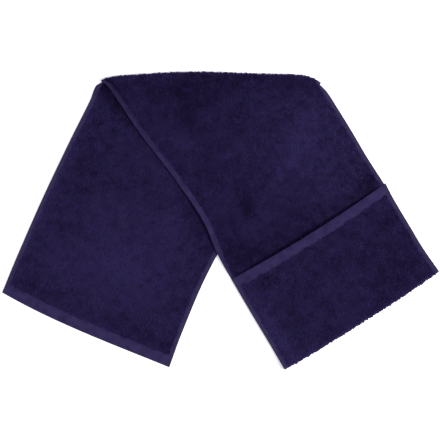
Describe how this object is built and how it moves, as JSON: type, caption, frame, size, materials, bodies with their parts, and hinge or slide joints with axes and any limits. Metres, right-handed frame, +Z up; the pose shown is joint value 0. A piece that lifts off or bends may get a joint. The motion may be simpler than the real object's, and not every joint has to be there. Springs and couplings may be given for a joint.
{
  "type": "sports towel",
  "caption": "Terry sports towel lying folded across itself at the top, one end turned up and sewn at its sides into a flat pocket.",
  "frame": {"origin": "on the surface the towel lies on, under the middle of its outline", "axes": "+X along the towel's longest reach, towards the pocket; +Y towards the top fold; +Z up, out of the surface"},
  "size_m": [0.718, 0.4898, 0.0141],
  "materials": {
    "terry": "looped cotton terry, navy, with flat woven hems"
  },
  "bodies": {
    "root": {"towel": "terry"}
  },
  "joints": []
}
